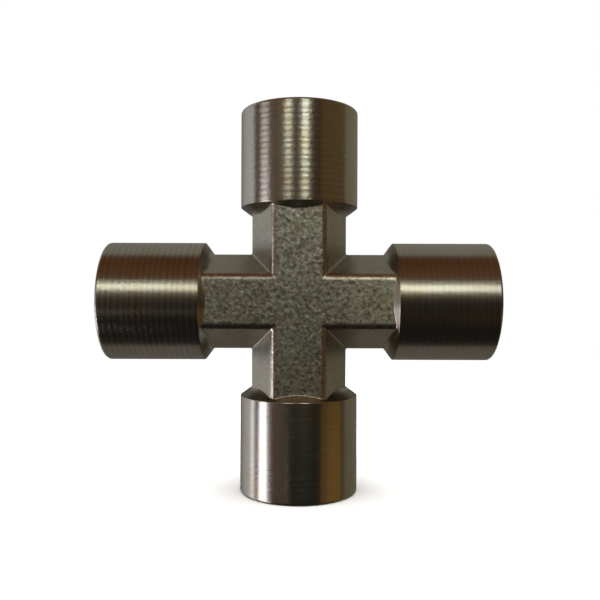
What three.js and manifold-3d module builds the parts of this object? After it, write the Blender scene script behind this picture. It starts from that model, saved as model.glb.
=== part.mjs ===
// Equal female cross fitting: one forged and machined brass body with four threaded sockets.
// Millimetres, +Z up. The port axes lie along X and Z and cross at the origin; -Y is the front.
// Forging, shoulders, bores and threads are all cut from the one piece, so there is one mesh.
import * as THREE from "three";
import { mergeVertices } from "three/addons/utils/BufferGeometryUtils.js";
import Module from "manifold-3d";

// Forged core: two crossed bars of one chamfered section
const armWidth = 13.5; // across the side flats, in the plane of the cross
const armThickness = 14.8; // across the front and back flats
const frontFlatWidth = 7.0;
const sideFlatHeight = 3.6;
const forgedEdgeRadius = 0.5;

// Turned sockets
const reach = 27.5; // centre to port face
const socketDiameter = 17.0;
const socketLength = 13.9; // port face to the back edge of the turned cylinder
const shoulderAngle = 54; // degrees between the shoulder cone and the port axis
const shoulderRootRadius = 6.3; // where the cone ends, inside the forged arm
const backEdgeRadius = 0.2;
const rimChamfer = 0.4;

// G 1/4 parallel pipe thread (55 degree form, 19 threads per inch)
const threadPitch = 25.4 / 19;
const threadMajorDiameter = 13.157;
const threadPitchDiameter = 12.301;
const threadHalfAngle = 27.5; // degrees
const threadDepth = 11.5;
const threadMinorRadius = 5.8;
const tappingDrillDiameter = 11.8;
const drillDepth = 14.5; // port face to the end of the full drill diameter
const drillHalfPointAngle = 59; // degrees
const countersinkDiameter = 13.9;
const passageDiameter = 8.0;

// Facets round a circle
const outerSegments = 48;
const boreSegments = 24;
const cornerSegments = 3;

// How far solids run into each other, so that joins and cuts have no faces in common
const barOverlap = 1; // forged bars into the sockets
const overrun = 1; // cutting tools past the surface they cut
const passageHalfLength = 12.4; // ends inside the points of the tapping drills
const toolNeckRadius = 5.4; // keeps the drill tool clear of the thread it passes through

const socketRadius = socketDiameter / 2;
const drillRadius = tappingDrillDiameter / 2;
const passageRadius = passageDiameter / 2;
const backEdge = reach - socketLength;

const wasm = await Module();
wasm.setup();

// A closed three.js geometry as a solid, with its shared vertices merged.
function solidFrom(geometry) {
  const bare = geometry.clone();
  bare.deleteAttribute("normal");
  bare.deleteAttribute("uv");
  const merged = mergeVertices(bare, 1e-4);
  const index = merged.index.array;
  const triangles = [];
  for (let i = 0; i < index.length; i += 3) {
    const corners = index.slice(i, i + 3);
    if (new Set(corners).size === 3) triangles.push(...corners);
  }
  return new wasm.Manifold(
    new wasm.Mesh({
      numProp: 3,
      vertProperties: merged.attributes.position.array,
      triVerts: new Uint32Array(triangles),
    }),
  );
}

function geometryFrom(solid) {
  const mesh = solid.getMesh();
  const geometry = new THREE.BufferGeometry();
  geometry.setAttribute("position", new THREE.BufferAttribute(mesh.vertProperties, 3));
  geometry.setIndex(new THREE.BufferAttribute(mesh.triVerts, 1));
  geometry.computeVertexNormals();
  return geometry;
}

// A solid of revolution about the Y axis from [radius, height] points, bottom to top.
function turned(points, segments) {
  const profile = points.map(([radius, height]) => new THREE.Vector2(radius, height));
  return new THREE.LatheGeometry(profile, segments);
}

// A closed outline whose corners are rounded by curves.
function roundedOutline(corners, radius) {
  const shape = new THREE.Shape();
  corners.forEach((corner, i) => {
    const before = corners.at(i - 1);
    const after = corners[(i + 1) % corners.length];
    const toBefore = before.clone().sub(corner).normalize();
    const toAfter = after.clone().sub(corner).normalize();
    const halfAngle = toBefore.angleTo(toAfter) / 2;
    const setback = radius / Math.tan(halfAngle);
    const start = corner.clone().addScaledVector(toBefore, setback);
    const end = corner.clone().addScaledVector(toAfter, setback);
    if (i === 0) shape.moveTo(start.x, start.y);
    else shape.lineTo(start.x, start.y);
    shape.quadraticCurveTo(corner.x, corner.y, end.x, end.y);
  });
  shape.closePath();
  return shape;
}

// One forged bar along Z, long enough to end inside both of its sockets.
function forgedBar() {
  const side = armWidth / 2;
  const front = armThickness / 2;
  const flat = frontFlatWidth / 2;
  const cheek = sideFlatHeight / 2;
  const quarter = [
    [side, cheek],
    [flat, front],
  ];
  const mirrored = [...quarter, ...quarter.toReversed().map(([x, y]) => [-x, y])];
  const around = [...mirrored, ...mirrored.map(([x, y]) => [-x, -y])];
  const corners = around.map(([x, y]) => new THREE.Vector2(x, y));
  const halfLength = backEdge + barOverlap;
  const bar = new THREE.ExtrudeGeometry(roundedOutline(corners, forgedEdgeRadius), {
    depth: 2 * halfLength,
    bevelEnabled: false,
    curveSegments: cornerSegments,
  });
  return bar.translate(0, 0, -halfLength);
}

// One turned socket about +Y: shoulder cone, rounded back edge, cylinder and chamfered rim.
function turnedSocket() {
  const slope = Math.tan(THREE.MathUtils.degToRad(shoulderAngle));
  const coneStart = backEdge - (socketRadius - shoulderRootRadius) / slope;
  const turn = THREE.MathUtils.degToRad(shoulderAngle);
  const setback = backEdgeRadius * Math.tan(turn / 2);
  const arcCentre = [socketRadius - backEdgeRadius, backEdge + setback];
  const arc = [];
  for (let i = 0; i <= cornerSegments; i++) {
    const angle = turn * (1 - i / cornerSegments);
    arc.push([
      arcCentre[0] + backEdgeRadius * Math.cos(angle),
      arcCentre[1] - backEdgeRadius * Math.sin(angle),
    ]);
  }
  return turned(
    [
      [0, coneStart],
      [shoulderRootRadius, coneStart],
      ...arc,
      [socketRadius, reach - rimChamfer],
      [socketRadius - rimChamfer, reach],
      [0, reach],
    ],
    outerSegments,
  );
}

// The tapping drill with its point, opened out by the countersink at the mouth.
function drillTool() {
  const shoulder = reach - drillDepth;
  const pointAngle = THREE.MathUtils.degToRad(drillHalfPointAngle);
  const countersinkRadius = countersinkDiameter / 2;
  return turned(
    [
      [0, shoulder - drillRadius / Math.tan(pointAngle)],
      [drillRadius, shoulder],
      [drillRadius, reach - threadDepth + threadPitch],
      [toolNeckRadius, reach - threadDepth + threadPitch],
      [toolNeckRadius, reach - (countersinkRadius - toolNeckRadius)],
      [countersinkRadius + overrun, reach + overrun],
      [0, reach + overrun],
    ],
    boreSegments,
  ).rotateY(Math.PI / boreSegments);
}

// Radius of the thread as a fraction of the way along one pitch: land, flank, root, flank.
function threadForm() {
  const slope = Math.tan(THREE.MathUtils.degToRad(threadHalfAngle));
  const pitchRadius = threadPitchDiameter / 2;
  const rootRadius = threadMajorDiameter / 2;
  const halfWidthAt = (radius) => threadPitch / 4 - (radius - pitchRadius) * slope;
  const landHalfWidth = halfWidthAt(threadMinorRadius) / threadPitch;
  const rootHalfWidth = halfWidthAt(rootRadius) / threadPitch;
  return [
    [threadMinorRadius, 0.5 - landHalfWidth],
    [rootRadius, 0.5 - rootHalfWidth],
    [rootRadius, 0.5 + rootHalfWidth],
    [threadMinorRadius, 0.5 + landHalfWidth],
  ];
}

// The tap about +Y: a turned bar whose profile climbs one pitch in every turn, cut off at each end.
function tapTool() {
  const bottom = reach - threadDepth;
  const top = reach + overrun;
  const turns = Math.ceil((top - bottom) / threadPitch) + 1;
  const profile = [new THREE.Vector2(0, bottom)];
  for (let turn = -2; turn < turns; turn++) {
    for (const [radius, share] of threadForm()) {
      profile.push(new THREE.Vector2(radius, bottom + (turn + share) * threadPitch));
    }
  }
  profile.push(new THREE.Vector2(0, top));
  const tap = new THREE.LatheGeometry(profile, boreSegments);
  const position = tap.attributes.position;
  for (let i = 0; i < position.count; i++) {
    const point = profile[i % profile.length];
    if (point.x === 0) continue;
    const column = Math.floor(i / profile.length);
    const angle = ((column % boreSegments) / boreSegments) * 2 * Math.PI;
    const climbed = point.y + (column / boreSegments) * threadPitch;
    const height = THREE.MathUtils.clamp(climbed, bottom, top);
    const radius = height === climbed ? point.x : threadMinorRadius;
    position.setXYZ(i, radius * Math.sin(angle), height, radius * Math.cos(angle));
  }
  return tap;
}

// Turns from +Y to each port, clockwise from the top port as seen from the front.
const portTurns = [0, 1, 2, 3].map((quarter) => {
  const upright = new THREE.Matrix4().makeRotationX(Math.PI / 2);
  return new THREE.Matrix4().makeRotationY((quarter * Math.PI) / 2).multiply(upright);
});

function crossBody() {
  let body = solidFrom(forgedBar()).add(solidFrom(forgedBar().rotateY(Math.PI / 2)));
  for (const turn of portTurns) {
    body = body.add(solidFrom(turnedSocket().applyMatrix4(turn)));
  }
  const passage = new THREE.CylinderGeometry(
    passageRadius,
    passageRadius,
    2 * passageHalfLength,
    boreSegments,
  );
  for (const turn of portTurns.slice(0, 2)) {
    body = body.subtract(solidFrom(passage.clone().applyMatrix4(turn)));
  }
  for (const turn of portTurns) {
    body = body.subtract(solidFrom(drillTool().applyMatrix4(turn)));
    body = body.subtract(solidFrom(tapTool().applyMatrix4(turn)));
  }
  return geometryFrom(body);
}

const nickelPlatedBrass = new THREE.MeshStandardMaterial({
  color: 0x8a857a,
  roughness: 0.35,
  metalness: 1.0,
});

const fitting = new THREE.Group();
const body = new THREE.Mesh(crossBody(), nickelPlatedBrass);
body.name = "cross_body";
fitting.add(body);

export default fitting;
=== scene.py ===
"""Looks of an equal female cross fitting: blasted forged core, turned sockets and cut threads.

The whole fitting is one piece of nickel-plated brass, so it is one closed mesh. One arm is made as
a grid of rings, from the mitre it shares with its neighbours, over the socket, down the thread and
back to the mitre of the bores, and four turned copies are welded together.
"""
import math

import bmesh
import bpy
import numpy as np
from mathutils import Matrix, Vector


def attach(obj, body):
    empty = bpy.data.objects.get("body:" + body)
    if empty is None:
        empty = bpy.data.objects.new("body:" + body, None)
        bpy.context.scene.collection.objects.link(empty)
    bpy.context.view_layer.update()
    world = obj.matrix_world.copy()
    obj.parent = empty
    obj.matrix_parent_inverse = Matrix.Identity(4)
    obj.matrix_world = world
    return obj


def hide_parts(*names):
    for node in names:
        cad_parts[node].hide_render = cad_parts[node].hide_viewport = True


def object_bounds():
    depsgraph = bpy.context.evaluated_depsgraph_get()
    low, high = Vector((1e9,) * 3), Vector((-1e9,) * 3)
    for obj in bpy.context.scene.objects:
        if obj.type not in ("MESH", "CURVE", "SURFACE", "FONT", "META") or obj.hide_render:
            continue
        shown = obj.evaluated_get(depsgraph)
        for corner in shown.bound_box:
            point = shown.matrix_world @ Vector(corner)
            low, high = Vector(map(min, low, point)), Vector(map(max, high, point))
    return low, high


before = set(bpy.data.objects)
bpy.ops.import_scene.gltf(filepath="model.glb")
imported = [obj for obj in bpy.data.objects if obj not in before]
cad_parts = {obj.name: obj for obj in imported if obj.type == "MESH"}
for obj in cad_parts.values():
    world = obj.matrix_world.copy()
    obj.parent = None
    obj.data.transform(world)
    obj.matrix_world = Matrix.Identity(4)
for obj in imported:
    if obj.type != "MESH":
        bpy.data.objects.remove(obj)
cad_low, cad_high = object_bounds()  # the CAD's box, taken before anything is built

MM = 0.001

# ---------------------------------------------------------------- dimensions, millimetres
REACH = (cad_high - cad_low).x / 2 / MM  # centre to port face
SOCKET_RADIUS = (cad_high - cad_low).y / 2 / MM
BACK_EDGE = REACH - 13.9
SHOULDER_ANGLE = math.radians(54)  # between the shoulder cone and the port axis
RIM_ROUND = 0.38
WORN_EDGE_WIDTH = 0.45

ARM_HALF_WIDTH = 6.75
ARM_HALF_THICKNESS = 7.4
FLAT_HALF_WIDTH = 3.62  # to where flat and bevel would meet without their rounded edge
CHEEK_HALF_HEIGHT = 1.8

# widths over which two surfaces are blended into each other
FLAT_EDGE_BLEND = 0.64
CHEEK_EDGE_BLEND = 0.12
CORNER_BLEND = 0.32
SHOULDER_BLEND = 0.14
BACK_EDGE_BLEND = 0.11

THREAD_PITCH = 25.4 / 19
THREAD_MINOR_RADIUS = 5.76
THREAD_MAJOR_RADIUS = 6.5785
THREAD_FULL_DEPTH = 9.2  # from the port face, where the tap's taper starts
THREAD_END_DEPTH = 12.2
THREAD_TOP_DEPTH = 0.3
THREAD_START_STEP = 0.23  # turns by which each thread starts later than its neighbour's
FLANK_STEEPNESS = 1.35
ROWS_PER_TURN = 8
MOUTH_RADIUS = 6.95
DRILL_RADIUS = 5.9
DRILL_WALL_DEPTH = 12.6  # where the plain wall below the thread starts
DRILL_DEPTH = 14.5
DRILL_HALF_POINT = math.radians(59)
PASSAGE_RADIUS = 4.0

BISECTIONS = 40
WELD_DISTANCE = 2e-4
SLIVER_LENGTH = 1e-4

BLASTED, TURNED, TAPPED = range(3)

# how the tool left each socket, in the order up, right, down, left
SHEEN_STRETCH = np.array([0.75, 0.75, 0.45, 0.75])
SOCKET_ROUGHNESS = np.array([0.275, 0.286, 0.232, 0.272])
MARK_STRENGTH = np.array([0.009, 0.014, 0.004, 0.018])  # change of roughness over one feed mark
RING_DEPTH = np.array([1.0, 0.5, 0.3, 0.6])  # share of the full relief of the turning rings
PAINTED_RING_SHADE = np.array([0.0, 0.08, 0.0, 0.16])  # how far painted shade darkens the grooves of the turning rings; a painted highlight lightens the ridges by half of it
GRIT = np.array([1.0, 0.4, 0.15, 0.4])  # strength of the fine specks in the relief


# ---------------------------------------------------------------- the outer shape as a blended field
def smooth_min(a, b, width):
    overlap = np.maximum(width - np.abs(a - b), 0) / width
    return np.minimum(a, b) - overlap * overlap * width / 4


def smooth_max(a, b, width):
    return -smooth_min(-a, -b, width)


def bevel_plane():
    """Unit normal of an arm's bevel in (across, thickness), and its distance from the port axis."""
    run = np.array([FLAT_HALF_WIDTH - ARM_HALF_WIDTH, ARM_HALF_THICKNESS - CHEEK_HALF_HEIGHT])
    normal = np.array([run[1], -run[0]]) / np.hypot(*run)
    return normal, normal @ [ARM_HALF_WIDTH, CHEEK_HALF_HEIGHT]


BEVEL_NORMAL, BEVEL_DISTANCE = bevel_plane()


def section_field(across, thick):
    """Below 0 inside an arm's forged section."""
    cheek = across - ARM_HALF_WIDTH
    bevel = across * BEVEL_NORMAL[0] + thick * BEVEL_NORMAL[1] - BEVEL_DISTANCE
    flat = thick - ARM_HALF_THICKNESS
    return smooth_max(smooth_max(cheek, bevel, CHEEK_EDGE_BLEND), flat, FLAT_EDGE_BLEND)


def outer_field(point):
    """Below 0 inside the forging or a socket; point is (across, thickness, along the arm)."""
    across, thick, along = np.abs(point).T
    core = section_field(smooth_min(across, along, CORNER_BLEND), thick)
    beyond = np.hypot(across, thick) - SOCKET_RADIUS
    cone = (BACK_EDGE - along) * math.sin(SHOULDER_ANGLE) + beyond * math.cos(SHOULDER_ANGLE)
    socket = smooth_max(beyond, cone, BACK_EDGE_BLEND)
    return smooth_min(core, socket, SHOULDER_BLEND)


def settle(points, rounds=5, step=1e-4):
    """Moves points on to the outer shape, straight along its slope."""
    for _ in range(rounds):
        slope = np.empty_like(points)
        for axis in range(3):
            offset = np.zeros(3)
            offset[axis] = step
            slope[:, axis] = (outer_field(points + offset) - outer_field(points - offset)) / (2 * step)
        value = outer_field(points)
        points = points - slope * (value / (slope**2).sum(axis=1))[:, None]
    return points


# ---------------------------------------------------------------- the grid of one arm
def column_angles():
    """Angles round the port axis, closer together at the section's rounded corners."""
    cheek = math.atan2(CHEEK_HALF_HEIGHT, ARM_HALF_WIDTH)
    flat = math.atan2(ARM_HALF_THICKNESS, FLAT_HALF_WIDTH)
    cheek_half, flat_half = math.radians(3.0), math.radians(6.5)
    quarter = np.concatenate([
        np.linspace(0, cheek - cheek_half, 6)[:-1],
        np.linspace(cheek - cheek_half, cheek + cheek_half, 9)[:-1],
        np.linspace(cheek + cheek_half, flat - flat_half, 14)[:-1],
        np.linspace(flat - flat_half, flat + flat_half, 13)[:-1],
        np.linspace(flat + flat_half, math.pi / 2, 8)[:-1],
    ])
    half = np.concatenate([quarter, [math.pi / 2], math.pi - quarter[:0:-1]])
    return np.concatenate([half, half + math.pi, [2 * math.pi]])


ANGLES = column_angles()
COLUMNS = len(ANGLES)
COS, SIN = np.cos(ANGLES), np.sin(ANGLES)

FORGED_END = 11.2  # distance along the arm at which the rows of the shoulder take over
SLANT_SPAN = 3.6  # how far a slanted line runs, outwards and backwards alike
SHOULDER_FOOT_ROW = 10  # the row of the shoulder that lies in its foot

# where the painted shade in the corner of the shoulder starts: sideways as a share of the radius, and
# down the cone
CORNER_START, CORNER_FADE = 0.42, 0.3
CORNER_DEPTH, CORNER_DEPTH_FADE = 1.9, 0.7


def section_radius():
    """Distance from the port axis to the forged section in every column's direction."""
    low = np.full(COLUMNS, ARM_HALF_WIDTH * 0.9)
    high = np.full(COLUMNS, SOCKET_RADIUS)
    for _ in range(BISECTIONS):
        middle = (low + high) / 2
        inside = section_field(np.abs(middle * COS), np.abs(middle * SIN)) < 0
        low = np.where(inside, middle, low)
        high = np.where(inside, high, middle)
    return (low + high) / 2


def ring(radius, along):
    """One row of the grid; radius and along are numbers or one value per column."""
    return np.stack([radius * COS, radius * SIN, along + np.zeros(COLUMNS)], axis=1)


def slanted(radius, along):
    """Points pushed on to the outer shape along lines that lean halfway back, by bisection."""
    inside, outside = np.zeros(COLUMNS), np.full(COLUMNS, SLANT_SPAN)
    for _ in range(BISECTIONS):
        middle = (inside + outside) / 2
        point = ring(radius - SLANT_SPAN / 2 + middle, along + SLANT_SPAN / 2 - middle)
        within = outer_field(point) < 0
        inside = np.where(within, middle, inside)
        outside = np.where(within, outside, middle)
    return point


def forged_rows():
    """From the mitre to a little way short of the shoulder, with rows gathered at the mitre."""
    radius = section_radius()
    start = np.abs(radius * COS)
    near_mitre = [0, 0.05, 0.11, 0.18, 0.26, 0.36, 0.48, 0.64, 0.9]
    rows = [ring(radius, start + offset) for offset in near_mitre]
    rest = FORGED_END - start - near_mitre[-1]
    for share in np.linspace(0, 1, 9)[1:]:
        rows.append(ring(radius, start + near_mitre[-1] + share * rest))
    points = np.array(rows)
    return settle(points.reshape(-1, 3)).reshape(points.shape)


def shoulder_rows():
    """Up the cone and round the back edge on to the turned cylinder, gathered at both ends."""
    radius = section_radius()
    first = radius + FORGED_END
    foot = radius + BACK_EDGE + (radius - SOCKET_RADIUS) / math.tan(SHOULDER_ANGLE)
    last = SOCKET_RADIUS + BACK_EDGE
    near_foot = [-0.16, -0.11, -0.07, -0.03, 0, 0.03, 0.07, 0.11]
    near_edge = [-0.09, -0.04, 0, 0.04, 0.09, 0.15, 0.22]
    sums = [first + share * (foot - 0.2 - first) for share in np.linspace(0, 1, 8)[1:-1]]
    sums += [foot + offset for offset in near_foot]
    sums += [foot + 0.15 + share * (last - foot - 0.3) for share in np.linspace(0, 1, 8)]
    sums += [last + offset for offset in near_edge]
    middle_radius = (radius + SOCKET_RADIUS) / 2
    return np.array([slanted(middle_radius, total - middle_radius) for total in sums])


def socket_rows():
    """The turned cylinder, its rounded outer rim, the port face and the start of the countersink."""
    rows = [
        ring(SOCKET_RADIUS, along)
        for along in np.linspace(BACK_EDGE + 0.4, REACH - RIM_ROUND, 16)
    ]
    for turn in np.linspace(0, math.pi / 2, 7)[1:]:
        rows.append(ring(
            SOCKET_RADIUS - RIM_ROUND * (1 - math.cos(turn)),
            REACH - RIM_ROUND * (1 - math.sin(turn)),
        ))
    face_radii = [7.9, 7.5, MOUTH_RADIUS + 0.06]
    rows += [ring(radius, REACH) for radius in face_radii]
    return rows


def mouth_rows():
    """The countersink, as far as the first row of the thread."""
    return [
        ring(MOUTH_RADIUS - depth, REACH - depth)
        for depth in [0.04, 0.12, THREAD_TOP_DEPTH]
    ]


def thread_radius(share):
    """Radius of the rounded 55 degree thread at a share of the way along one pitch."""
    wave = 0.5 - 0.5 * np.cos(2 * math.pi * share)
    steep = np.clip((wave - 0.5) * FLANK_STEEPNESS + 0.5, 0, 1)
    return THREAD_MINOR_RADIUS + (THREAD_MAJOR_RADIUS - THREAD_MINOR_RADIUS) * steep


def thread_rows(start_turn):
    """Rows that climb one pitch in every turn, held at the mouth and at the tap's last cut.

    Three turns more than the depth holds bring even the latest start to rest all round.
    """
    top, bottom = REACH - THREAD_TOP_DEPTH, REACH - THREAD_END_DEPTH
    full = REACH - THREAD_FULL_DEPTH
    turns = math.ceil((top - bottom) / THREAD_PITCH) + 3
    rows = []
    for row in range(turns * ROWS_PER_TURN):
        share = row / ROWS_PER_TURN
        level = top + (1 + start_turn % 1 - share) * THREAD_PITCH
        climbed = level + ANGLES / (2 * math.pi) * THREAD_PITCH
        along = np.clip(climbed, bottom, top)
        cut = np.clip((along - bottom) / (full - bottom), 0, 1)
        groove = thread_radius(share)
        radius = DRILL_RADIUS + cut * (groove - DRILL_RADIUS)
        radius = np.maximum(radius, MOUTH_RADIUS - (REACH - along))
        radius = np.where(climbed > top, MOUTH_RADIUS - THREAD_TOP_DEPTH, radius)
        radius = np.where(climbed < bottom, DRILL_RADIUS, radius)
        rows.append(ring(radius, along))
    return rows


def bore_rows():
    """The tapping drill's wall and point, then the passage as far as the mitre of the bores."""
    drill_end = REACH - DRILL_DEPTH
    rows = [ring(DRILL_RADIUS, along) for along in np.linspace(REACH - DRILL_WALL_DEPTH, drill_end, 4)]
    tip = drill_end - (DRILL_RADIUS - PASSAGE_RADIUS) / math.tan(DRILL_HALF_POINT)
    for share in [0.05, 0.5, 0.95]:
        radius = DRILL_RADIUS + share * (PASSAGE_RADIUS - DRILL_RADIUS)
        rows.append(ring(radius, drill_end + share * (tip - drill_end)))
    mitre = np.abs(PASSAGE_RADIUS * COS)
    for share in [0, 0.02, 0.25, 0.5, 0.75, 1]:
        rows.append(ring(PASSAGE_RADIUS, tip + share * (mitre - tip)))
    return rows


def arm_grid(start_turn):
    """All rows of one arm as (row, column, xyz), and the material of the band after each row."""
    forged, shoulder = forged_rows(), shoulder_rows()
    socket = socket_rows() + mouth_rows()
    inside = thread_rows(start_turn) + bore_rows()
    grid = np.concatenate([forged, shoulder, np.array(socket), np.array(inside)])
    bands = np.full(len(grid) - 1, TAPPED)
    bands[: len(forged) + len(shoulder) + len(socket) - 1] = TURNED
    bands[: len(forged) + SHOULDER_FOOT_ROW] = BLASTED
    return grid, bands


def cross_mesh():
    """Four arms turned about Y and welded into one closed mesh."""
    bm = bmesh.new()
    for arm in range(4):
        grid, bands = arm_grid(start_turn=THREAD_START_STEP * arm)
        turn = np.array(Matrix.Rotation(arm * math.pi / 2, 3, "Y"))
        points = grid.reshape(-1, 3) @ turn.T
        verts = [bm.verts.new(point) for point in points]
        for row, band in enumerate(bands):
            for column in range(COLUMNS - 1):
                a = row * COLUMNS + column
                b = a + COLUMNS
                face = bm.faces.new((verts[a], verts[a + 1], verts[b + 1], verts[b]))
                face.material_index = int(band)
                face.smooth = True
    bmesh.ops.remove_doubles(bm, verts=bm.verts, dist=WELD_DISTANCE)
    bmesh.ops.dissolve_degenerate(bm, edges=bm.edges, dist=SLIVER_LENGTH)
    bmesh.ops.recalc_face_normals(bm, faces=bm.faces)
    bmesh.ops.scale(bm, vec=(MM, MM, MM), verts=bm.verts)
    mesh = bpy.data.meshes.new("cross_fitting_surface")
    bm.to_mesh(mesh)
    bm.free()
    return mesh


def mesh_points(mesh):
    points = np.empty(len(mesh.vertices) * 3)
    mesh.vertices.foreach_get("co", points)
    return points.reshape(-1, 3)


def weigh_normals(mesh):
    """Vertex normals weighted by face area, so that flats stay flat beside small rounds."""
    mesh.calc_loop_triangles()
    corners = np.empty(len(mesh.loop_triangles) * 3, dtype=np.int32)
    mesh.loop_triangles.foreach_get("vertices", corners)
    corners = corners.reshape(-1, 3)
    points = mesh_points(mesh)
    a, b, c = (points[corners[:, i]] for i in range(3))
    facing = np.cross(b - a, c - a)
    total = np.zeros_like(points)
    for i in range(3):
        np.add.at(total, corners[:, i], facing)
    total /= np.maximum(np.linalg.norm(total, axis=1), 1e-20)[:, None]
    mesh.normals_split_custom_set_from_vertices(total.tolist())


def store(mesh, name, kind, values):
    layer = mesh.attributes.new(name, kind, "POINT")
    key = "vector" if kind == "FLOAT_VECTOR" else "value"
    layer.data.foreach_set(key, np.asarray(values, dtype=np.float32).ravel())


def mark_surface(mesh):
    """Stores what the materials need: the place along a turned profile, its direction, and wear."""
    points = mesh_points(mesh) / MM
    x, y, z = points.T
    upright = np.abs(z) >= np.abs(x)
    arm = np.where(upright, np.where(z > 0, 0, 2), np.where(x > 0, 1, 3))
    along = np.where(upright, np.abs(z), np.abs(x))
    across = np.where(upright, x, z)
    radius = np.hypot(across, y)
    axis = np.zeros_like(points)
    axis[:, 2] = np.where(upright, np.sign(z), 0)
    axis[:, 0] = np.where(upright, 0, np.sign(x))
    radial = points - axis * along[:, None]
    radial /= np.maximum(np.linalg.norm(radial, axis=1), 1e-9)[:, None]

    # distance cut along the turned profile, counted from the back edge of the socket
    on_cone = along < BACK_EDGE + 0.02
    on_face = along > REACH - 0.5 * RIM_ROUND
    down_cone = (radius - SOCKET_RADIUS) / math.sin(SHOULDER_ANGLE)
    cut = np.where(on_cone, down_cone, along - BACK_EDGE)
    cut = np.where(on_face, REACH - BACK_EDGE + SOCKET_RADIUS - radius, cut)
    slant = np.where(on_cone[:, None], axis + radial * math.tan(SHOULDER_ANGLE), axis)
    slant = np.where(on_face[:, None], radial, slant)
    slant /= np.linalg.norm(slant, axis=1)[:, None]

    # painted shade in the corner that the shoulder makes with the bevels and side flats
    sideways = np.abs(across) / np.maximum(radius, 1e-9)
    beside_flat = np.clip((sideways - CORNER_START) / CORNER_FADE, 0, 1)
    above_foot = np.clip((down_cone + CORNER_DEPTH) / CORNER_DEPTH_FADE, 0, 1)
    corner = beside_flat * above_foot * on_cone

    bevel = np.abs(across) * BEVEL_NORMAL[0] + np.abs(y) * BEVEL_NORMAL[1] - BEVEL_DISTANCE
    from_flat_edge = (bevel - (np.abs(y) - ARM_HALF_THICKNESS)) / WORN_EDGE_WIDTH
    wear = np.exp(-from_flat_edge**2)
    on_bevel = np.clip(from_flat_edge, 0, 1)

    store(mesh, "cut", "FLOAT", cut)
    store(mesh, "arm", "FLOAT", arm)
    store(mesh, "place", "FLOAT_VECTOR", np.stack([across, y, along], axis=1))
    store(mesh, "slant", "FLOAT_VECTOR", slant)
    store(mesh, "wear", "FLOAT", wear)
    store(mesh, "bevel", "FLOAT", on_bevel)
    store(mesh, "corner", "FLOAT", corner)
    store(mesh, "stretch", "FLOAT", SHEEN_STRETCH[arm])
    store(mesh, "rough", "FLOAT", SOCKET_ROUGHNESS[arm])
    store(mesh, "marks", "FLOAT", MARK_STRENGTH[arm])
    store(mesh, "rings", "FLOAT", RING_DEPTH[arm])
    store(mesh, "tone", "FLOAT", PAINTED_RING_SHADE[arm])
    store(mesh, "grit", "FLOAT", GRIT[arm])


# ---------------------------------------------------------------- materials
class Graph:
    """Short names for the shader nodes that the materials use."""

    def __init__(self, tree):
        self.tree = tree
        self.nodes = tree.nodes
        self.nodes.clear()

    def node(self, kind, **settings):
        made = self.nodes.new(kind)
        for key, value in settings.items():
            setattr(made, key, value)
        return made

    def put(self, socket, value):
        if isinstance(value, bpy.types.NodeSocket):
            self.tree.links.new(value, socket)
        else:
            socket.default_value = value

    def attribute(self, name, output="Fac"):
        return self.node("ShaderNodeAttribute", attribute_name=name).outputs[output]

    def math(self, operation, a, b=0.0):
        made = self.node("ShaderNodeMath", operation=operation)
        self.put(made.inputs[0], a)
        self.put(made.inputs[1], b)
        return made.outputs[0]

    def remap(self, value, low, high, to_low=0.0, to_high=1.0):
        made = self.node("ShaderNodeMapRange", interpolation_type="SMOOTHSTEP")
        for socket, item in zip(made.inputs, (value, low, high, to_low, to_high)):
            self.put(socket, item)
        return made.outputs[0]

    def vector(self, x, y, z):
        made = self.node("ShaderNodeCombineXYZ")
        for socket, value in zip(made.inputs, (x, y, z)):
            self.put(socket, value)
        return made.outputs[0]

    def split(self, vector):
        made = self.node("ShaderNodeSeparateXYZ")
        self.put(made.inputs[0], vector)
        return made.outputs

    def noise(self, vector, scale, detail=2.0, roughness=0.5, seed=0.0):
        made = self.node("ShaderNodeTexNoise", noise_dimensions="4D")
        self.put(made.inputs["Vector"], vector)
        self.put(made.inputs["W"], seed)
        self.put(made.inputs["Scale"], scale)
        self.put(made.inputs["Detail"], detail)
        self.put(made.inputs["Roughness"], roughness)
        return made.outputs["Fac"]

    def pits(self, vector, scale):
        made = self.node("ShaderNodeTexVoronoi", voronoi_dimensions="4D", feature="SMOOTH_F1")
        self.put(made.inputs["Vector"], vector)
        self.put(made.inputs["Scale"], scale)
        self.put(made.inputs["Smoothness"], 0.6)
        return made.outputs["Distance"]

    def mix(self, share, a, b):
        made = self.node("ShaderNodeMix", data_type="RGBA")
        self.put(made.inputs["Factor"], share)
        self.put(made.inputs[6], a)
        self.put(made.inputs[7], b)
        return made.outputs[2]

    def bump(self, height, distance):
        made = self.node("ShaderNodeBump")
        self.put(made.inputs["Height"], height)
        self.put(made.inputs["Distance"], distance)
        self.put(made.inputs["Strength"], 1.0)
        return made.outputs["Normal"]

    def metal(self, colour, roughness, normal, anisotropy=0.0, tangent=None):
        shader = self.node("ShaderNodeBsdfPrincipled")
        self.put(shader.inputs["Base Color"], colour)
        self.put(shader.inputs["Metallic"], 1.0)
        self.put(shader.inputs["Roughness"], roughness)
        self.put(shader.inputs["Normal"], normal)
        self.put(shader.inputs["Anisotropic"], anisotropy)
        if tangent is not None:
            self.put(shader.inputs["Tangent"], tangent)
        out = self.node("ShaderNodeOutputMaterial")
        self.tree.links.new(shader.outputs[0], out.inputs["Surface"])


def new_material(name):
    material = bpy.data.materials.new(name)
    material.use_nodes = True
    return material, Graph(material.node_tree)


FEED = 0.8  # millimetres between the lathe marks that show
RING_RUN = 0.05  # pace of the noise along a mark, as a share of its pace across the marks

# heights that the bump nodes stand for
TURNED_RELIEF = 0.028 * MM
BLASTED_RELIEF = 0.05 * MM
TAPPED_RELIEF = 0.02 * MM

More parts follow.
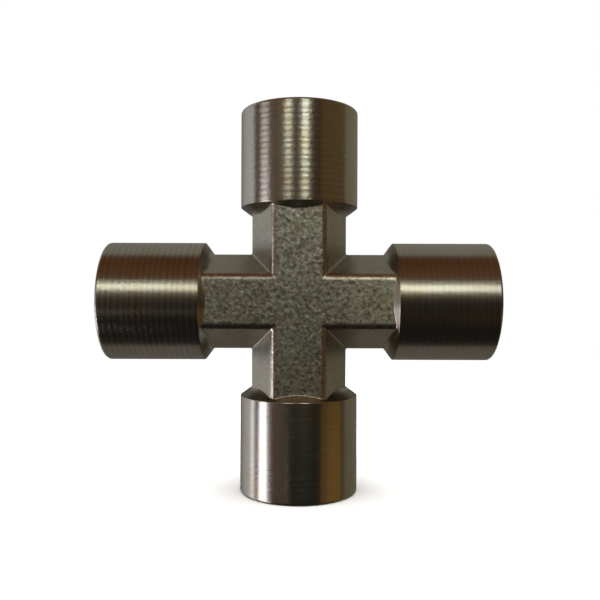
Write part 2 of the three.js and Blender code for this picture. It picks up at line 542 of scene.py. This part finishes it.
# features in one metre of blasted skin
GRAIN_SCALE = 2000
DENT_SCALE = 1650
SPECKLE_SCALE = 2250
TINT_SCALE = 1500
PATCH_SCALE = 160

# where the blasted flats start to get lighter, and where they are at their lightest
LIGHTER_RIGHTWARDS = (2 * MM, 12 * MM)
LIGHTER_DOWNWARDS = (-4 * MM, -12 * MM)

NICKEL = (0.62, 0.60, 0.54, 1)
NICKEL_DULL = (0.53, 0.50, 0.415, 1)
NICKEL_WARM = (0.62, 0.55, 0.42, 1)
NICKEL_GREENISH = (0.53, 0.62, 0.46, 1)
NICKEL_PINKISH = (0.68, 0.57, 0.53, 1)
# painted shade for the shoulder's corner beside the bevels and side flats
PAINTED_SHADE_IN_CORNER = (0.16, 0.135, 0.10, 1)
NICKEL_RUBBED = (0.80, 0.64, 0.58, 1)
NICKEL_LIGHT = (0.88, 0.83, 0.63, 1)
# painted highlight on the ridges of the turning rings and painted shade in their grooves
PAINTED_RIDGE_HIGHLIGHT = (0.98, 0.96, 0.88, 1)
PAINTED_GROOVE_SHADE = (0.10, 0.09, 0.07, 1)
FLECK_DARK = (0.27, 0.25, 0.19, 1)
FLECK_LIGHT = (0.95, 0.93, 0.82, 1)


def turned_nickel():
    """Lathe-turned skin: shallow feed marks of uneven depth, and a sheen stretched across them."""
    material, g = new_material("turned_nickel")
    cut, arm = g.attribute("cut"), g.attribute("arm")
    place = g.attribute("place", "Vector")
    across, thick, _ = g.split(place)
    round_x, round_y = g.math("MULTIPLY", across, RING_RUN), g.math("MULTIPLY", thick, RING_RUN)
    track = g.vector(cut, round_x, round_y)
    wander = g.noise(track, 0.7, detail=1.0, seed=g.math("ADD", arm, 5.0))
    steady = g.math("MULTIPLY", cut, 2 * math.pi / FEED)
    turns = g.math("ADD", steady, g.math("MULTIPLY", wander, 5.0))
    handled = g.noise(place, 1.5, detail=1.0, seed=g.math("ADD", arm, 2.0))
    feed = g.math("MULTIPLY", g.math("SINE", turns), g.remap(handled, 0.3, 0.7, 0.35, 1.2))
    fine = g.noise(track, 2.4, detail=1.0, seed=arm)
    patch = g.noise(place, 0.28, detail=3.0, seed=g.math("ADD", arm, 4.0))
    rings = g.math("ADD", g.math("MULTIPLY", fine, 0.35), g.math("MULTIPLY", feed, 0.28))
    rings = g.math("MULTIPLY", rings, g.attribute("rings"))
    specks = g.noise(place, 2.6, detail=1.0, seed=g.math("ADD", arm, 7.0))
    specks = g.math("MULTIPLY", specks, g.attribute("grit"))
    rings = g.math("ADD", rings, g.math("MULTIPLY", specks, 0.35))
    colour = g.mix(g.remap(patch, 0.42, 0.72), NICKEL, NICKEL_WARM)
    # the feed marks are real; their lighter ridges and darker grooves are painted highlight and
    # painted shade
    ridge = g.remap(feed, -1.0, 1.0)
    tone = g.attribute("tone")
    ridge_highlight = g.math("MULTIPLY", g.math("MULTIPLY", ridge, tone), 0.5)
    dark = g.math("MULTIPLY", g.math("SUBTRACT", 1.0, ridge), tone)
    colour = g.mix(dark, g.mix(ridge_highlight, colour, PAINTED_RIDGE_HIGHLIGHT), PAINTED_GROOVE_SHADE)
    # painted shade: the shoulder darkened in its corner beside the bevels and side flats
    colour = g.mix(g.math("MULTIPLY", g.attribute("corner"), 0.85), colour, PAINTED_SHADE_IN_CORNER)
    sheen = g.math("MULTIPLY", feed, g.attribute("marks"))
    sheen = g.math("ADD", sheen, g.math("MULTIPLY", fine, 0.06))
    roughness = g.math("ADD", sheen, g.attribute("rough"))
    normal = g.bump(rings, TURNED_RELIEF)
    g.metal(colour, roughness, normal, g.attribute("stretch"), g.attribute("slant", "Vector"))
    return material


def blasted_nickel():
    """Forged skin after blasting: dents of half a millimetre, shallower on the drawn bevels.

    The flats get lighter towards the right-hand and the lower arm.
    """
    material, g = new_material("blasted_nickel")
    here = g.node("ShaderNodeTexCoord").outputs["Object"]
    wear, bevel = g.attribute("wear"), g.attribute("bevel")
    grain = g.noise(here, GRAIN_SCALE, detail=1.5)
    dents = g.pits(here, DENT_SCALE)
    speckle = g.noise(here, SPECKLE_SCALE, detail=1.5, seed=3.0)
    tint = g.noise(here, TINT_SCALE, detail=1.0, seed=7.0)
    patch = g.noise(here, PATCH_SCALE, detail=3.0)
    height = g.math("ADD", g.math("MULTIPLY", grain, 0.8), g.math("MULTIPLY", dents, 0.5))
    height = g.math("MULTIPLY", height, g.remap(wear, 0.2, 1.0, 1.0, 0.7))
    height = g.math("MULTIPLY", height, g.remap(bevel, 0.3, 1.0, 1.0, 0.5))
    colour = g.mix(g.remap(patch, 0.35, 0.7), NICKEL_DULL, NICKEL)
    colour = g.mix(g.remap(tint, 0.52, 0.66, 0.0, 0.6), colour, NICKEL_GREENISH)
    colour = g.mix(g.remap(tint, 0.48, 0.34, 0.0, 0.6), colour, NICKEL_PINKISH)
    x, _, z = g.split(here)
    to_right = g.remap(x, *LIGHTER_RIGHTWARDS, 0.0, 0.8)
    to_below = g.remap(z, *LIGHTER_DOWNWARDS, 0.0, 0.4)
    lighter = g.math("ADD", to_right, to_below)
    lighter = g.math("MULTIPLY", lighter, g.remap(bevel, 0.3, 1.0, 1.0, 0.0))
    colour = g.mix(lighter, colour, NICKEL_LIGHT)
    flecks = g.remap(bevel, 0.3, 1.0, 0.8, 0.15)
    dark = g.math("MULTIPLY", g.remap(speckle, 0.50, 0.34), flecks)
    light = g.math("MULTIPLY", g.remap(speckle, 0.53, 0.68), flecks)
    colour = g.mix(dark, colour, FLECK_DARK)
    colour = g.mix(light, colour, FLECK_LIGHT)
    colour = g.mix(g.math("MULTIPLY", wear, 0.45), colour, NICKEL_RUBBED)
    roughness = g.remap(wear, 0.0, 1.0, 0.43, 0.32)
    roughness = g.math("SUBTRACT", roughness, g.math("MULTIPLY", bevel, 0.07))
    normal = g.bump(height, BLASTED_RELIEF)
    g.metal(colour, roughness, normal)
    return material


def tapped_nickel():
    """Cut thread and drilled bore: a brighter cut with drag marks, warmer where plating is thin."""
    material, g = new_material("tapped_nickel")
    place = g.attribute("place", "Vector")
    across, thick, along = g.split(place)
    arm = g.attribute("arm")
    track = g.vector(along, across, thick)
    drag = g.noise(track, 3.0, detail=3.0, roughness=0.6, seed=arm)
    patch = g.noise(place, 0.5, detail=2.0, seed=arm)
    depth = g.remap(along, REACH - 2, REACH - 11, 0.15, 0.75)
    colour = g.mix(depth, NICKEL, NICKEL_WARM)
    colour = g.mix(g.remap(patch, 0.45, 0.7, 0.0, 0.4), colour, NICKEL_DULL)
    roughness = g.remap(drag, 0.3, 0.7, 0.24, 0.4)
    normal = g.bump(drag, TAPPED_RELIEF)
    g.metal(colour, roughness, normal)
    return material


# ---------------------------------------------------------------- the fitting
def build_fitting():
    """The one visible piece, which stands in for the CAD's body."""
    mesh = cross_mesh()
    for make in (blasted_nickel, turned_nickel, tapped_nickel):
        mesh.materials.append(make())
    mark_surface(mesh)
    weigh_normals(mesh)
    fitting = bpy.data.objects.new("cross_fitting_surface", mesh)
    bpy.context.scene.collection.objects.link(fitting)
    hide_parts("cross_body")
    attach(fitting, "root")


# ---------------------------------------------------------------- studio
FLOOR_HALF_SIZE = 3.0
FLOOR_FADE = (0.05, 0.25)  # metres from the fitting over which the floor turns to plain white
CAMERA_DISTANCE = 96 * MM
SEEN_WIDTH = 88.1 * MM
CAMERA_OFFSET = (0.15 * MM, 0.21 * MM)
CAMERA_ROLL = math.radians(-0.19)

# what the metal sees: the room from the floor up, and the paper behind the fitting
ROOM_LOW = (0.012, 0.011, 0.0095, 1)
ROOM_MIDDLE = (0.075, 0.038, 0.018, 1)
ROOM_HIGH = (0.105, 0.046, 0.019, 1)
ROOM_TOP = (0.062, 0.023, 0.009, 1)
PAPER_LOW = (0.128, 0.115, 0.100, 1)
PAPER_HIGH = (0.218, 0.210, 0.178, 1)
PAPER_RIGHT_LOW = (0.135, 0.118, 0.080, 1)
PAPER_RIGHT_HIGH = (0.19, 0.17, 0.12, 1)
PAPER_LEFT = (0.46, 0.46, 0.475, 1)
PAPER_TILT = 0.042  # how far the paper's edge leans back for each unit of height
WHITE = (1, 1, 1, 1)
FLOOR_TONES = (0.90, 0.90, 0.90, 1), (0.92, 0.92, 0.91, 1)


def direction(azimuth, elevation):
    """Unit vector towards a place round the fitting; azimuth 0 is the front, 90 the right."""
    a, e = math.radians(azimuth), math.radians(elevation)
    return Vector((math.sin(a) * math.cos(e), -math.cos(a) * math.cos(e), math.sin(e)))


def card(name, azimuth, elevation, wide, high, radiance, colour, distance=0.7):
    """A soft rectangular light that spans wide by high degrees as seen from the fitting."""
    light = bpy.data.lights.new(name, "AREA")
    light.shape = "RECTANGLE"
    light.size = 2 * distance * math.tan(math.radians(wide) / 2)
    light.size_y = 2 * distance * math.tan(math.radians(high) / 2)
    light.energy = radiance * math.pi * light.size * light.size_y
    light.color = colour
    lamp = bpy.data.objects.new(name, light)
    towards = direction(azimuth, elevation)
    lamp.location = towards * distance
    lamp.rotation_euler = towards.to_track_quat("Z", "Y").to_euler()
    lamp.visible_camera = False
    bpy.context.scene.collection.objects.link(lamp)
    return lamp


def studio_lights():
    """Lamps above, window and curtain on the left, amber cards on the right, light for the floor."""
    card("lamp_left_pane", -22, 26, 11, 11, 4.3, (0.96, 1.0, 0.85))
    card("lamp_right_pane", 11.5, 25.2, 10.5, 12, 6.0, (0.96, 1.0, 0.86))
    card("window", -73, -24, 16, 36, 3.4, (1.0, 0.95, 1.06))
    card("window_top", -69.5, 7, 16, 26, 0.90, (1.0, 0.93, 0.95))
    card("far_window", -100, -24, 10, 36, 1.1, (1.0, 0.95, 1.0))
    card("window_gap", -100, 0, 12, 12, 0.45, (1.0, 0.96, 0.93))
    card("curtain_top", -46, 14, 28, 22, 0.105, (1.0, 0.92, 0.74))
    card("curtain", -44, -13, 30, 28, 0.082, (1.0, 0.67, 0.58))
    card("table_glint", -23, -19, 2.5, 7, 0.6, (1.0, 0.95, 0.78))
    card("amber_card_top", 67, 16, 50, 20, 0.085, (1.0, 0.72, 0.27))
    card("amber_card", 75, -20, 31, 26, 0.17, (1.0, 0.55, 0.11))
    card("amber_shade", 51, -20, 17, 26, 0.115, (1.0, 0.50, 0.13))
    sky = card("floor_light", 0, 88, 90, 90, 3.4, (1.0, 1.0, 1.0), distance=0.5)
    sky.visible_glossy = False


def studio_world():
    """White to the camera; to the metal, a dim warm room with pale paper behind the fitting."""
    world = bpy.data.worlds.new("studio")
    bpy.context.scene.world = world
    world.use_nodes = True
    g = Graph(world.node_tree)
    x, y, z = g.split(g.node("ShaderNodeTexCoord").outputs["Generated"])
    room = g.mix(g.remap(z, -0.05, 0.42), ROOM_LOW, ROOM_MIDDLE)
    room = g.mix(g.remap(z, 0.55, 0.85), room, ROOM_HIGH)
    room = g.mix(g.remap(z, 0.90, 0.99), room, ROOM_TOP)
    paper = g.mix(g.remap(z, -0.8, 0.8), PAPER_LOW, PAPER_HIGH)
    right = g.mix(g.remap(z, -0.3, 0.2), PAPER_RIGHT_LOW, PAPER_RIGHT_HIGH)
    paper = g.mix(g.remap(x, 0.3, 0.9), paper, right)
    paper = g.mix(g.remap(x, -0.35, -0.9), paper, PAPER_LEFT)
    back = g.math("SUBTRACT", y, g.math("MULTIPLY", z, PAPER_TILT))
    seen = g.mix(g.remap(back, 0.09, 0.19), room, paper)
    is_camera = g.node("ShaderNodeLightPath").outputs["Is Camera Ray"]
    colour = g.mix(is_camera, seen, WHITE)
    background = g.node("ShaderNodeBackground")
    g.put(background.inputs["Color"], colour)
    out = g.node("ShaderNodeOutputWorld")
    g.tree.links.new(background.outputs[0], out.inputs["Surface"])


def studio_floor():
    """A wide pale sheet under the lowest port face."""
    bm = bmesh.new()
    bmesh.ops.create_grid(bm, x_segments=24, y_segments=24, size=FLOOR_HALF_SIZE)
    mesh = bpy.data.meshes.new("studio_floor")
    bm.to_mesh(mesh)
    bm.free()
    material, g = new_material("pale_floor")
    here = g.node("ShaderNodeTexCoord").outputs["Object"]
    shader = g.node("ShaderNodeBsdfDiffuse")
    tone = g.mix(g.noise(here, 3.0), *FLOOR_TONES)
    g.put(shader.inputs["Color"], tone)
    glow = g.node("ShaderNodeEmission")
    away = g.node("ShaderNodeVectorMath", operation="LENGTH")
    g.put(away.inputs[0], here)
    fade = g.node("ShaderNodeMixShader")
    g.put(fade.inputs[0], g.remap(away.outputs["Value"], *FLOOR_FADE))
    g.put(fade.inputs[1], shader.outputs[0])
    g.put(fade.inputs[2], glow.outputs[0])
    out = g.node("ShaderNodeOutputMaterial")
    g.tree.links.new(fade.outputs[0], out.inputs["Surface"])
    mesh.materials.append(material)
    floor = bpy.data.objects.new("studio_floor", mesh)
    floor.location.z = cad_low.z
    floor.visible_glossy = False
    bpy.context.scene.collection.objects.link(floor)


def camera():
    """Straight at the front, close enough to show the ports' rims bulge towards the camera."""
    data = bpy.data.cameras.new("camera")
    data.sensor_width = 36.0
    data.lens = data.sensor_width * CAMERA_DISTANCE / SEEN_WIDTH
    cam = bpy.data.objects.new("camera", data)
    cam.location = (CAMERA_OFFSET[0], -CAMERA_DISTANCE, CAMERA_OFFSET[1])
    cam.rotation_euler = (math.pi / 2, CAMERA_ROLL, 0)
    data.clip_start = 0.005
    bpy.context.scene.collection.objects.link(cam)
    bpy.context.scene.camera = cam


build_fitting()
studio_world()
studio_lights()
studio_floor()
camera()
bpy.context.scene.view_settings.view_transform = "Standard"
